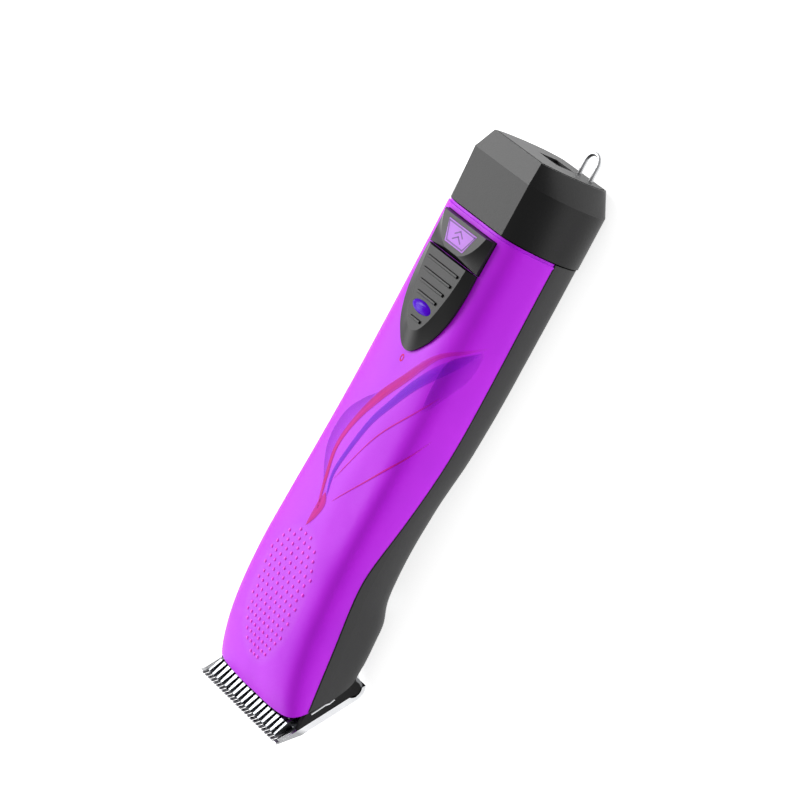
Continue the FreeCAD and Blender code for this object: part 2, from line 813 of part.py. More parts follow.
stick_outer = shape("stick_outer", stadium(size("stick_r"), size("stick_front"),
                                           size("stick_rear")))
cell_space = shape("cell_space", stadium(size("stick_r") - size("stick_wall"),
                                         size("stick_front") + 1.1, size("stick_rear") + 5))
stick_shell = cut("stick_shell", stick_outer, cell_space)
contact_pockets = []
battery_pads = []
for i, y in enumerate((-3.6, 0.0, 3.6)):
    contact_pockets.append(box("contact_pocket_%d" % i, "stick_front - 1", "stick_front + 0.6",
                               y - 1.2, y + 1.2, "9.0", "16.6"))
    battery_pads.append(box("battery_pad_%d" % i, "stick_front + 0.1", "stick_front + 0.6",
                            y - 1.2, y + 1.2, "9.0", "16.6"))
pocket_tools = fuse("pocket_tools", contact_pockets)
node(cut("stick_body", stick_shell, pocket_tools), "battery_stick")
node(group("battery_pad_set", battery_pads), "battery_contacts")
cells = [rod("cell_%d" % i, "x", "cell_r", "cell_length", "cell_front",
             "%scell_y" % sign, "stick_z") for i, sign in enumerate(("-", ""))]
node(group("cell_pair", cells), "battery_cells")

cap_outer = shape("cap_outer", cap_form())
cap_space = shape("cap_space", stadium(size("stick_r") + 0.03, size("cap_front") - 1,
                                       size("stick_rear") + 0.05).fuse(
    stadium(size("stick_r") - size("stick_wall"), size("cap_front") - 1,
            size("cap_pocket"))))
plate_low = size("end_x") - size("end_plate_t")


def plate_form(clear, x0, x1):
    wires = []
    for x in (x0, x1):
        wires.append(cap_wire("cap_c", size("plate_inset") - clear, x - size("end_x")))
    return Part.makeLoft(wires, True, True)


plate_recess = shape("plate_recess", plate_form(0.3, plate_low, size("end_x") + 3))
service_hole = box("service_hole", "cap_pocket - 1", "end_x", "-7.5", "7.5", "6.5", "18.5")
underside = box("cap_underside", "cap_front - 1", "end_x + 1", "-30", "30", "-5", "0")
cap_tools = fuse("cap_tools", [cap_space, plate_recess, service_hole, underside])
node(cut("cap_body", cap_outer, cap_tools), "battery_cap")

end_disc = shape("end_disc", plate_form(0.0, plate_low + 0.02, size("end_x") + 0.15))
socket_dish = slab("socket_dish", "end_x - 0.75", "end_x + 3", "4.6", "socket_z - 3.4",
                   "socket_z + 3.4")
socket_bore = rod("socket_bore", "x", "jack_r", "8", "end_x - 4", "socket_y", "socket_z")
loop_holes = []
for i, sign in enumerate(("-", "+")):
    loop_holes.append(rod("loop_hole_%d" % i, "x", "loop_wire_r", "2.6", "end_x - 1.2",
                          "loop_y %s loop_half" % sign, "loop_z"))
plate_tools = fuse("plate_tools", [socket_dish, socket_bore] + loop_holes)
node(cut("end_plate_body", end_disc, plate_tools), "battery_end_plate")

jack_outer = rod("jack_outer", "x", "jack_r - 0.05", "4.4", "end_x - 5.2", "socket_y",
                 "socket_z")
jack_bore = rod("jack_bore", "x", "1.75", "4.4", "end_x - 4.6", "socket_y", "socket_z")
jack_shell = cut("jack_shell", jack_outer, jack_bore)
jack_pin = rod("jack_pin", "x", "0.6", "3.4", "end_x - 4.7", "socket_y", "socket_z")
node(fuse("jack_body", [jack_shell, jack_pin]), "charge_socket")
node(slab("protection_board", "78.0", "78.35", "6.8", "7.0", "18.0"), "protection_board")


def loop_wire():
    y, z = size("loop_y"), size("loop_z")
    r = size("loop_wire_r")
    half = size("loop_half")
    start = size("end_x") - 1.2
    bend = size("loop_end") - r - half
    a, b = vec(start, y - half, z), vec(bend, y - half, z)
    c, d = vec(bend, y + half, z), vec(start, y + half, z)
    arc = Part.Arc(b, vec(bend + half, y, z), c).toShape()
    path = Part.Wire([Part.makeLine(a, b), arc, Part.makeLine(c, d)])
    profile = Part.Wire([Part.makeCircle(r, a, vec(1, 0, 0))])
    return path.makePipeShell([profile], True, True)


node(shape("loop_body", loop_wire()), "hanging_loop")

# ---------------------------------------------------------------- motor
can_round = rod("can_round", "x", "motor_r", "motor_rear - motor_front", "motor_front", "0",
                "motor_z")
can_flats = box("can_flats", "motor_front - 1", "motor_rear + 1", "-20", "20",
                "motor_z - motor_flat", "motor_z + motor_flat")
can_solid = common("can_solid", can_round, can_flats)
can_hole = rod("can_hole", "x", "rotor_r + 0.3", "motor_rear - motor_front", 
               "motor_front + motor_wall", "0", "motor_z")
can_nose = rod("can_nose", "x", "shaft_r + 0.5", "4", "motor_front - 1", "0", "motor_z")
can_tools = fuse("can_tools", [can_hole, can_nose])
node(cut("can_body", can_solid, can_tools), "motor_can")
bell_round = rod("bell_round", "x", "motor_r", "bell_t", "motor_rear", "0", "motor_z")
bell_flats = box("bell_flats", "motor_rear - 1", "motor_rear + bell_t + 1", "-20", "20",
                 "motor_z - motor_flat", "motor_z + motor_flat")
bell_solid = common("bell_solid", bell_round, bell_flats)
bell_hole = rod("bell_hole", "x", "shaft_r + 0.05", "bell_t", "motor_rear - 1", "0", "motor_z")
bell_cut = cut("bell_cut", bell_solid, bell_hole)
tabs = [box("motor_tab_%d" % i, "motor_rear + bell_t", "motor_rear + bell_t + 2.2", y - 1.2,
            y + 1.2, "motor_z - 0.3", "motor_z + 0.3") for i, y in enumerate((-6.0, 6.0))]
node(fuse("bell_body", [bell_cut] + tabs), "motor_end_bell")
rotor_core = rod("rotor_core", "x", "rotor_r", "21", "motor_front + 3.5", "0", "motor_z")
rotor_shaft = rod("rotor_shaft", "x", "shaft_r", "motor_rear - shaft_front + 1.6",
                  "shaft_front", "0", "motor_z")
node(fuse("rotor_body", [rotor_core, rotor_shaft]), "motor_rotor")
bush_ring = rod("bush_ring", "x", "shaft_r + 0.48", "1.8", "motor_front - 0.9", "0", "motor_z")
bush_bore = rod("bush_bore", "x", "shaft_r + 0.05", "4", "motor_front - 2", "0", "motor_z")
node(cut("bush_body", bush_ring, bush_bore), "motor_bearing")

crank_disc = rod("crank_disc", "x", "crank_r", "crank_rear - crank_front", "crank_front", "0",
                 "motor_z")
crank_pin = rod("crank_pin", "x", "crank_pin_r", "crank_front - crank_pin_front + 0.5",
                "crank_pin_front", "0", "motor_z + crank_throw")
crank_full = fuse("crank_full", [crank_disc, crank_pin])
crank_bore = rod("crank_bore", "x", "shaft_r", "20", "shaft_front", "0", "motor_z")
node(cut("crank_body", crank_full, crank_bore), "eccentric_crank")
ring_out = rod("ring_out", "x", "bearing_r", "bearing_rear - bearing_front", "bearing_front",
               "0", "motor_z + crank_throw")
ring_in = rod("ring_in", "x", "crank_pin_r", "8", "bearing_front - 2", "0",
              "motor_z + crank_throw")
node(cut("ring_body", ring_out, ring_in), "crank_bearing")

# ---------------------------------------------------------------- drive lever
def arm_profile():
    low = size("lever_low")
    top = low + size("lever_t")
    front_low = blade_point(0, size("tip_top"))
    slope = -math.tan(math.radians(size("blade_angle")))
    x_low = front_low[0] + (low - front_low[1]) / slope
    x_high = front_low[0] + (top - 0.5 - front_low[1]) / slope
    points = [(size("lever_x") - 2.0, low), (x_low, low), (x_high, top - 0.5),
              (x_high + 0.5, top), (size("lever_x") - 2.0, top)]
    return prism_xz(points, size("arm_half"))


arm = shape("lever_arm", arm_profile())
hub = rod("lever_hub", "z", "lever_hub_r", "lever_t + 2", "lever_x", "0", "lever_low - 1")
yoke = slab("lever_yoke", "lever_x + 2", "fork_root", "fork_out", "lever_low", "lever_low + lever_t")
prongs = [box("lever_prong_%d" % i, "fork_root - 0.5", "fork_rear", a, b, "lever_low",
              "lever_low + lever_t")
          for i, (a, b) in enumerate((("-fork_out", "-fork_in"), ("fork_in", "fork_out")))]
lever_full = fuse("lever_full", [arm, hub, yoke] + prongs)
hub_bore = rod("hub_bore", "z", "lever_bush_r", "20", "lever_x", "0", "lever_low - 5")
node(cut("lever_body", lever_full, hub_bore), "drive_lever")
lever_bush = rod("lever_bush", "z", "lever_bush_r", "lever_t + 2", "lever_x", "0",
                 "lever_low - 1")
lever_bush_bore = rod("lever_bush_bore", "z", "lever_pin_r + 0.04", "20", "lever_x", "0",
                      "lever_low - 5")
node(cut("lever_bush_body", lever_bush, lever_bush_bore), "lever_bushing")
node(rod("pivot_pin_body", "z", "lever_pin_r", "frame_roof - frame_floor + frame_t",
         "lever_x", "0", "frame_floor"), "lever_pivot_pin")
tip = slab("tip_block", "tip_front", "tip_rear", "tip_half", "tip_low", "tip_top")
tip_wrap = group("tip_wrap", [tip])
node(on_blade(tip_wrap), "drive_tip")

# ---------------------------------------------------------------- mechanism frame
floor_plate = slab("floor_plate", "frame_front", "motor_front - 1.2", "frame_half",
                   "frame_floor", "frame_floor + frame_t")
roof_plate = slab("roof_plate", "frame_front + 4", "motor_front - 1.2", "frame_half",
                  "frame_roof", "frame_roof + frame_t")
back_plate = slab("back_plate", "motor_front - 1.6", "motor_front", "frame_half",
                  "frame_floor", "frame_roof + frame_t")
posts = [rod("frame_post_%d" % i, "z", "1.6", "frame_roof - frame_floor", "-47.5", y,
             "frame_floor") for i, y in enumerate((-7.2, 7.2))]
frame_full = fuse("frame_full", [floor_plate, roof_plate, back_plate] + posts)
frame_window = rod("frame_window", "x", "shaft_r + 0.5", "6", "motor_front - 4", "0", "motor_z")
frame_pin_hole = rod("frame_pin_hole", "z", "lever_pin_r", "30", "lever_x", "0", "0")
screw_holes = [rod("motor_screw_hole_%d" % i, "x", "0.85", "8", "motor_front - 4", y, "motor_z")
               for i, y in enumerate((-7.9, 7.9))]
frame_tools = fuse("frame_tools", [frame_window, frame_pin_hole] + screw_holes)
node(cut("frame_body", frame_full, frame_tools), "mechanism_frame")
motor_screws = [rod("motor_screw_%d" % i, "x", "0.8", "1.6", "motor_front - 1.6", y, "motor_z")
                for i, y in enumerate((-7.9, 7.9))]
motor_heads = [rod("motor_screw_head_%d" % i, "x", "1.0", "0.9", "motor_front - 2.5", y,
                   "motor_z") for i, y in enumerate((-7.9, 7.9))]
node(group("motor_screw_set", [fuse("motor_screw_pair_%d" % i, [a, b]) for i, (a, b)
                               in enumerate(zip(motor_screws, motor_heads))]), "motor_screws")

# ---------------------------------------------------------------- blade hinge
ears = []
for i, (a, b) in enumerate((("-ear_out", "-ear_in"), ("ear_in", "ear_out"))):
    ears.append(rod("ear_round_%d" % i, "y", "ear_r", "ear_out - ear_in", "pivot_x", a,
                    "pivot_z"))
    ears.append(box("ear_web_%d" % i, "pivot_x - ear_r", "pivot_x + ear_r", a, b, "pivot_z",
                    "ear_top + 0.4"))
ear_plate = slab("ear_plate", "plate_front", "plate_rear", "plate_half", "ear_top",
                 "ear_top + plate_t")
hinge_full = fuse("hinge_full", ears + [ear_plate])
pin_hole = rod("pin_hole", "y", "pin_r", "60", "pivot_x", "-30", "pivot_z")
plate_hole = rod("plate_hole", "z", "1.0", "8", "25.4", "0", "ear_top - 2")
hinge_tools = fuse("hinge_tools", [pin_hole, plate_hole])
node(on_blade(cut("hinge_body", hinge_full, hinge_tools)), "hinge_bracket")
plate_screw_head = rod("plate_screw_head", "z", "1.8", "1.0", "25.4", "0", "ear_top - 1.0")
plate_screw_shank = rod("plate_screw_shank", "z", "0.95", "plate_t + 1.0", "25.4", "0", "ear_top")
node(on_blade(fuse("plate_screw", [plate_screw_head, plate_screw_shank])), "hinge_screw")
pin_solid = rod("pin_solid", "y", "pin_r", "2 * pin_half", "pivot_x", "-pin_half", "pivot_z")
node(on_blade(group("pin_wrap", [pin_solid])), "hinge_pin")

knuckle = rod("tongue_knuckle", "y", "knuckle_r", "2 * knuckle_half", "pivot_x",
              "-knuckle_half", "pivot_z")
neck = slab("tongue_neck", "pivot_x - 3.2", "pivot_x", "knuckle_half", "tongue_low",
            "tongue_low + tongue_t")
tongue_plate = slab("tongue_plate", "tongue_front", "pivot_x - 2.6", "tongue_half",
                    "tongue_low", "tongue_low + tongue_t")
tongue_full = fuse("tongue_full", [knuckle, neck, tongue_plate])
tongue_bore = rod("tongue_bore", "y", "pin_r + 0.04", "60", "pivot_x", "-30", "pivot_z")
node(on_blade(cut("tongue_body", tongue_full, tongue_bore)), "hinge_tongue")


# ---------------------------------------------------------------- blade set
def bound_sketch(body, name, plane, edges):
    sketch = body.newObject("Sketcher::SketchObject", name)
    support = [f for f in body.Origin.OriginFeatures if f.Role == plane][0]
    sketch.AttachmentSupport = [(support, "")]
    sketch.MapMode = "FlatFace"
    count = len(edges)
    for i in range(count):
        a, b = edges[i], edges[(i + 1) % count]
        sketch.addGeometry(Part.LineSegment(vec(value_of(a[0]), value_of(a[1]), 0),
                                            vec(value_of(b[0]), value_of(b[1]), 0)), False)
    return sketch


def toothed_plate(name, profile, half, teeth, pitch, front, root, tip_w, root_w):
    body = doc.addObject("PartDesign::Body", name)
    side = bound_sketch(body, name + "_side", "XZ_Plane", profile)
    pad_feature = body.newObject("PartDesign::Pad", name + "_pad")
    pad_feature.Profile = side
    pad_feature.SideType = "Symmetric"
    bind(pad_feature, "Length", "2 * %s" % half)
    x0 = size(front) - 1.0
    span = (size(teeth) - 2) * size(pitch)
    y0 = -0.5 * span
    tw, rw = 0.5 * size(tip_w), 0.5 * size(root_w)
    xr = size(root)
    slot_edges = [(x0, y0 - tw), (xr, y0 - rw), (xr + rw, y0), (xr, y0 + rw), (x0, y0 + tw)]
    plan = bound_sketch(body, name + "_slot", "XY_Plane", slot_edges)
    pocket = body.newObject("PartDesign::Pocket", name + "_pocket")
    pocket.Profile = plan
    pocket.SideType = "Symmetric"
    pocket.Length = 40
    pattern = body.newObject("PartDesign::LinearPattern", name + "_pattern")
    pattern.Originals = [pocket]
    axis = [f for f in body.Origin.OriginFeatures if f.Role == "Y_Axis"][0]
    pattern.Direction = (axis, [""])
    bind(pattern, "Length", "(%s - 2) * %s" % (teeth, pitch))
    bind(pattern, "Occurrences", "%s - 1" % teeth)
    body.Tip = pattern
    return body


comb_profile = [("0", "comb_top + 0.25"), ("0.4", "comb_top + 0.45"), ("1.4", "comb_top"),
                ("comb_rear", "comb_top"), ("comb_rear", "comb_top - comb_t"),
                ("comb_bevel", "comb_top - comb_t"), ("0.35", "comb_top - 0.2")]
comb = toothed_plate("comb_blank", comb_profile, "comb_half", "comb_teeth", "comb_pitch",
                     "comb_front", "comb_slot_root", "comb_slot_tip_w", "comb_slot_root_w")
comb_holes = [rod("comb_hinge_relief", "y", "ear_r + 0.3", "60", "pivot_x", "-30", "pivot_z")]
for i, sign in enumerate(("-", "")):
    comb_holes.append(rod("comb_hole_%d" % i, "z", "blade_screw_r", "8", "blade_screw_x",
                          "%sblade_screw_y" % sign, "-5"))
    comb_holes.append(rod("comb_sink_%d" % i, "z", "blade_head_r", "5 - 3.2 + 1.0",
                          "blade_screw_x", "%sblade_screw_y" % sign, "-5"))
comb_tools = fuse("comb_tools", comb_holes)
node(on_blade(cut("comb_body", comb, comb_tools)), "comb_plate")


def curl_sector(inner_y, outer_y, top):
    """The part of the comb's rolled rear edge between two distances from the middle."""
    r, t = size("heel_r"), size("heel_t")
    low = min(inner_y, outer_y)
    width = abs(outer_y - inner_y)
    base = vec(size("pivot_x"), low, size("pivot_z"))
    ring = Part.makeCylinder(r, width, base, Y_AXIS)
    ring = ring.cut(Part.makeCylinder(r - t, width, base, Y_AXIS))
    keep = Part.makeBox(10, 60, 20, vec(size("pivot_x"), -30, size("pivot_z") + top - 20))
    return ring.common(keep)


def heel_curls():
    made = []
    for sign in (-1, 1):
        middle = curl_sector(sign * size("heel_in"), sign * size("heel_out"),
                             size("heel_top"))
        side = curl_sector(sign * size("heel_out"), sign * size("heel_side_out"),
                           size("heel_side_top"))
        made.append(middle.fuse(side))
    return Part.makeCompound(made)


curls = shape("curl_pair", heel_curls())
curl_group = group("curl_group", [curls])
node(on_blade(curl_group), "heel_curl")

cutter_profile = [("cutter_front", "comb_top + cutter_gap"),
                  ("cutter_rear", "comb_top + cutter_gap"),
                  ("cutter_rear", "comb_top + cutter_t"), ("cutter_front + 4.5", "comb_top + cutter_t"),
                  ("cutter_front", "comb_top + 0.9")]
cutter = toothed_plate("cutter_blank", cutter_profile, "cutter_half", "cutter_teeth",
                       "cutter_pitch", "cutter_front", "cutter_slot_root",
                       "cutter_slot_tip_w", "cutter_slot_root_w")
lug = slab("cutter_lug", "lug_front", "cutter_rear", "lug_out", "comb_top + cutter_t - 0.4",
           "lug_top")
cutter_full = fuse("cutter_full", [cutter, lug])
cutter_notch = slab("cutter_notch", "lug_front - 2", "cutter_rear + 2", "notch_half",
                    "comb_top + cutter_t", "12")
node(on_blade(cut("cutter_body", cutter_full, cutter_notch)), "cutter_plate")

guide = slab("guide_bar", "guide_front", "guide_rear", "guide_half", "comb_top", "guide_top")
guide_gap = slab("guide_gap", "tongue_front - 0.4", "30", "tongue_half + 0.3", "-0.1", "10")
node(on_blade(cut("guide_body", guide, guide_gap)), "cutter_guide")

spring_parts = []
for i, (a, b) in enumerate((("-finger_out", "-finger_in"), ("finger_in", "finger_out"))):
    spring_parts.append(box("finger_%d" % i, "finger_front", "socket_rear", a, b,
                            "comb_top + cutter_t + 0.05", "comb_top + cutter_t + 0.05 + spring_t"))
spring_holes = [rod("spring_hole_%d" % i, "z", "blade_screw_r", "10", "blade_screw_x",
                    "%sblade_screw_y" % sign, "-5") for i, sign in enumerate(("-", ""))]
spring_pads = [box("spring_pad_%d" % i, "guide_rear", "socket_rear", a, b,
                   "comb_top + cutter_t + 0.05", "comb_top + cutter_t + 0.05 + spring_t")
               for i, (a, b) in enumerate((("-15.2", "-finger_in"), ("finger_in", "15.2")))]
spring_full = group("spring_full", [fuse("spring_side_%d" % i, [a, b])
                                    for i, (a, b) in enumerate(zip(spring_parts, spring_pads))])
spring_hole_group = fuse("spring_hole_group", spring_holes)
node(on_blade(cut("spring_body", spring_full, spring_hole_group)), "tension_spring")

wing = slab("socket_wings", "socket_front", "socket_rear", "socket_wing", "comb_top",
            "comb_top + cutter_t + 0.04")
crown = slab("socket_crown", "socket_front", "socket_rear", "socket_half", "comb_top",
             "socket_top")
socket_full = fuse("socket_full", [wing, crown])
channel = slab("socket_channel", "socket_front - 2", "socket_rear + 2", "tongue_half + 0.02",
               "tongue_low - 0.02", "tongue_low + tongue_t + 0.02")
socket_holes = [rod("socket_hole_%d" % i, "z", "blade_screw_r", "10", "blade_screw_x",
                    "%sblade_screw_y" % sign, "-5") for i, sign in enumerate(("-", ""))]
socket_tools = fuse("socket_tools", [channel] + socket_holes)
node(on_blade(cut("socket_body", socket_full, socket_tools)), "blade_socket")

blade_screws = []
for i, sign in enumerate(("-", "")):
    y = "%sblade_screw_y" % sign
    shank = rod("blade_shank_%d" % i, "z", "blade_screw_r", "4.4", "blade_screw_x", y, "-2.7")
    head = rod("blade_head_%d" % i, "z", "blade_head_r", "blade_head_t", "blade_screw_x", y,
               "-3.2")
    blade_screws.append(fuse("blade_screw_%d" % i, [shank, head]))
node(on_blade(group("blade_screw_set", blade_screws)), "blade_screws")

# ---------------------------------------------------------------- head face frame
def side_rail(y):
    """A rail beside the cutter whose front end slopes back under the housing's nose."""
    width = size("rail_out") - size("rail_in")
    corners = [("rail_front", "rail_low"), ("pivot_x", "rail_low"), ("pivot_x", "rail_top"),
               ("rail_slope", "rail_top")]
    points = [vec(size(x), y, size(z)) for x, z in corners]
    return Part.Face(Part.makePolygon(points + points[:1])).extrude(vec(0, width, 0))


rails = [shape("rail_solid_%d" % i, side_rail(y)) for i, y
         in enumerate((-size("rail_out"), size("rail_in")))]
for i, (a, b) in enumerate((("-barrel_out", "-heel_in"), ("heel_in", "barrel_out"))):
    rails.append(rod("barrel_%d" % i, "y", "barrel_r", "barrel_out - heel_in", "pivot_x", a,
                     "pivot_z"))
for i, (a, b) in enumerate((("-rail_in - 0.4", "-rim_in"), ("rim_in", "rail_in + 0.4"))):
    rails.append(box("rim_foot_%d" % i, "rim_front", "pivot_x", a, b, "1.2", "rail_top"))
for i, (a, b) in enumerate((("-rim_out", "-rim_in"), ("rim_in", "rim_out"))):
    rails.append(box("rim_%d" % i, "rim_front", "pivot_x", a, b, "1.2", "rim_top"))
face_full = on_blade(fuse("face_full", rails))
node(cut("face_frame", face_full, lower_shell), "head_face_frame")


def retaining_wires():
    made = []
    r = size("wire_r")
    for sign in (-1, 1):
        y = sign * size("wire_y")
        points = [vec(12.6, y, 1.9), vec(17.4, y, 2.05), vec(18.6, y, 2.9 - 1.2),
                  vec(20.4, y, 2.0)]
        path = Part.makePolygon(points)
        profile = Part.Wire([Part.makeCircle(r, points[0], points[1] - points[0])])
        made.append(path.makePipeShell([profile], True, False, 1))
    return Part.makeCompound(made)


wires = shape("wire_pair", retaining_wires())
wire_group = group("wire_group", [wires])
node(on_blade(wire_group), "blade_retaining_wires")

# ---------------------------------------------------------------- blade latch button
latch_cap = box("latch_cap", "latch_x - latch_long / 2", "latch_x + latch_long / 2",
                "-latch_wide / 2", "latch_wide / 2", "latch_low", "latch_flange")
latch_flange = box("latch_flange_plate", "latch_x - latch_long / 2 - 0.8",
                   "latch_x + latch_long / 2 + 0.8", "-latch_wide / 2 - 0.8",
                   "latch_wide / 2 + 0.8", "latch_flange", "latch_top")
node(fuse("latch_body", [latch_cap, latch_flange]), "latch_button")


def latch_spring():
    wire = 0.25
    z0 = size("latch_top")
    spring = coil(2.4, wire, size("frame_floor") - z0 - 2 * wire - 0.04, 3.0)
    spring.translate(vec(size("latch_x"), 0, z0 + wire + 0.02))
    return spring


node(shape("latch_spring_body", latch_spring()), "latch_spring")


# ---------------------------------------------------------------- wiring
def lead(y):
    points = [vec(2.2, y, size("motor_z") + 0.9), vec(4.4, y, 19.0), vec(7.6, y, 22.6),
              vec(10.2, y, 23.4), vec(13.2, y, 23.4)]
    path = Part.Wire([spline(points)])
    start = points[1] - points[0]
    profile = Part.Wire([Part.makeCircle(size("lead_r"), points[0], start)])
    return path.makePipeShell([profile], True, True)


node(shape("lead_pair", Part.makeCompound([lead(-size("lead_y")), lead(size("lead_y"))])), "motor_leads")

# ---------------------------------------------------------------- checks and export
doc.recompute()
for obj in doc.Objects:
    bad = [s for s in obj.State if s in ("Invalid", "Error")]
    if bad:
        raise RuntimeError("%s is %s" % (obj.Name, bad))
for obj in nodes:
    if obj.Shape.isNull() or not obj.Shape.isValid():
        raise RuntimeError("%s has no valid shape" % obj.Label)
os.makedirs("parts", exist_ok=True)
for obj in nodes:
    obj.Shape.exportStep("parts/%s.step" % obj.Label)
print("nodes:", len(nodes))
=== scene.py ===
import math

import bpy
from mathutils import Matrix, Vector
from mathutils.bvhtree import BVHTree


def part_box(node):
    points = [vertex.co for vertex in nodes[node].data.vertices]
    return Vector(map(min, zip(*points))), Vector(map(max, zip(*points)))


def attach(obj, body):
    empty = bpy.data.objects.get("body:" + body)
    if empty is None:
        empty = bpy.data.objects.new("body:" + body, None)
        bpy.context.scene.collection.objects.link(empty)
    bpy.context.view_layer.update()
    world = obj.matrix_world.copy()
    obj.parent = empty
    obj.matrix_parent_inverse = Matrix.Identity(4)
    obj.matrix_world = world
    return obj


MM = 0.001
AXIS_Z = 14 * MM            # height of the line that the shell is drawn around
LIFT = 0.05 * MM            # printed pieces lie this far above the shell

# Places on the clipper, in metres. The blade tips are at -X.
TEETH_ROOT = -87.5 * MM     # where the comb's slots end
TEETH_SIDE = 20.6 * MM      # the last slot's distance from the middle
GRIP_MIDDLE = -57.5 * MM    # centre of the grip patch
GRIP_LONG = 20.5 * MM       # half its length
GRIP_HALF = 12.4 * MM       # half its width
GRIP_POWER = 2.2            # above 2, its ends are blunter than an ellipse's

# Places that on_shell takes, in mm and degrees.
SEAM_FRONT, SEAM_REAR = -82.0, 60.8
SHELL_TOP = 13.4            # height of the top above the shell's middle line
MM_PER_DEGREE = 0.24        # length on the shell of one degree round it
ZERO_X = 17.5               # the switch's 0

# Brushed metal: stretch of the noise, darkening in its lines, and their depth.
BRUSHED_ACROSS = (60, 1200, 60)
METAL_SPREAD = 0.12
BRUSH_DEPTH = 0.01 * MM


# ---------------------------------------------------------------- shader helpers
def srgb(r, g, b):
    """Linear colour from 0-255 display values."""
    def linear(c):
        c /= 255.0
        return c / 12.92 if c <= 0.04045 else ((c + 0.055) / 1.055) ** 2.4
    return (linear(r), linear(g), linear(b))


def new_material(name):
    material = bpy.data.materials.new(name)
    material.use_nodes = True
    tree = material.node_tree
    tree.nodes.clear()
    return material, tree, tree.nodes.new("ShaderNodeOutputMaterial")


def noise(tree, scale, detail=4.0, stretch=(1, 1, 1)):
    """Noise in the object's own metres; stretch squeezes it along an axis."""
    where = tree.nodes.new("ShaderNodeTexCoord")
    mapping = tree.nodes.new("ShaderNodeMapping")
    mapping.inputs["Scale"].default_value = stretch
    texture = tree.nodes.new("ShaderNodeTexNoise")
    texture.inputs["Scale"].default_value = scale
    texture.inputs["Detail"].default_value = detail
    tree.links.new(where.outputs["Object"], mapping.inputs["Vector"])
    tree.links.new(mapping.outputs["Vector"], texture.inputs["Vector"])
    return texture.outputs["Fac"]


def ramp(tree, factor, stops):
    node = tree.nodes.new("ShaderNodeValToRGB")
    elements = node.color_ramp.elements
    elements.remove(elements[1])
    elements[0].position = stops[0][0]
    elements[0].color = (*stops[0][1], 1)
    for place, rgb in stops[1:]:
        elements.new(place).color = (*rgb, 1)
    tree.links.new(factor, node.inputs["Fac"])
    return node.outputs["Color"]


def remap(tree, value, a, b, c, d):
    node = tree.nodes.new("ShaderNodeMapRange")
    for socket, number in zip(("From Min", "From Max", "To Min", "To Max"), (a, b, c, d)):
        node.inputs[socket].default_value = number
    tree.links.new(value, node.inputs["Value"])
    return node.outputs["Result"]


def math_node(tree, operation, a, b=0.0):
    node = tree.nodes.new("ShaderNodeMath")
    node.operation = operation
    for socket, value in zip(node.inputs, (a, b)):
        if isinstance(value, (int, float)):
            socket.default_value = value
        else:
            tree.links.new(value, socket)
    return node.outputs["Value"]


def mix(tree, factor, a, b):
    node = tree.nodes.new("ShaderNodeMix")
    node.data_type = "RGBA"
    tree.links.new(factor, node.inputs["Factor"])
    for socket, value in ((node.inputs[6], a), (node.inputs[7], b)):
        if isinstance(value, tuple):
            socket.default_value = (*value, 1)
        else:
            tree.links.new(value, socket)
    return node.outputs[2]


def bump(tree, height, strength, distance):
    node = tree.nodes.new("ShaderNodeBump")
    node.inputs["Strength"].default_value = strength
    node.inputs["Distance"].default_value = distance
    tree.links.new(height, node.inputs["Height"])
    return node.outputs["Normal"]


def shade(tree, out, rough, metallic=0.0, specular=0.5, coat=0.0):
    node = tree.nodes.new("ShaderNodeBsdfPrincipled")
    node.inputs["Roughness"].default_value = rough
    node.inputs["Metallic"].default_value = metallic
    node.inputs["Specular IOR Level"].default_value = specular
    node.inputs["Coat Weight"].default_value = coat
    node.inputs["Coat Roughness"].default_value = 0.25
    tree.links.new(node.outputs["BSDF"], out.inputs["Surface"])
    return node


def plastic(name, rgb, rough=0.45, spread=0.08, grain=1400.0, depth=0.02, specular=0.5,
            coat=0.0):
    """Moulded plastic: a slightly uneven colour and a fine moulded grain."""
    material, tree, out = new_material(name)
    shader = shade(tree, out, rough, specular=specular, coat=coat)
    low = tuple(c * (1 - spread) for c in rgb)
    high = tuple(min(1.0, c * (1 + spread)) for c in rgb)
    base = ramp(tree, noise(tree, 90.0), [(0.3, low), (0.7, high)])
    tree.links.new(base, shader.inputs["Base Color"])
    grain_height = noise(tree, grain, detail=2.0)
    tree.links.new(bump(tree, grain_height, 0.4, depth * MM), shader.inputs["Normal"])
    return material


def metal(name, rgb, rough=0.2, brush=BRUSHED_ACROSS):
    """Ground or plated metal with faint lines along one direction."""
    material, tree, out = new_material(name)
    shader = shade(tree, out, rough, metallic=1.0)
    lines = noise(tree, 1.0, detail=3.0, stretch=brush)
    low = tuple(c * (1 - METAL_SPREAD) for c in rgb)
    tree.links.new(ramp(tree, lines, [(0.3, low), (0.7, rgb)]), shader.inputs["Base Color"])
    tree.links.new(remap(tree, lines, 0.2, 0.8, rough * 0.7, rough * 1.35),
                   shader.inputs["Roughness"])
    tree.links.new(bump(tree, lines, 0.3, BRUSH_DEPTH), shader.inputs["Normal"])
    return material


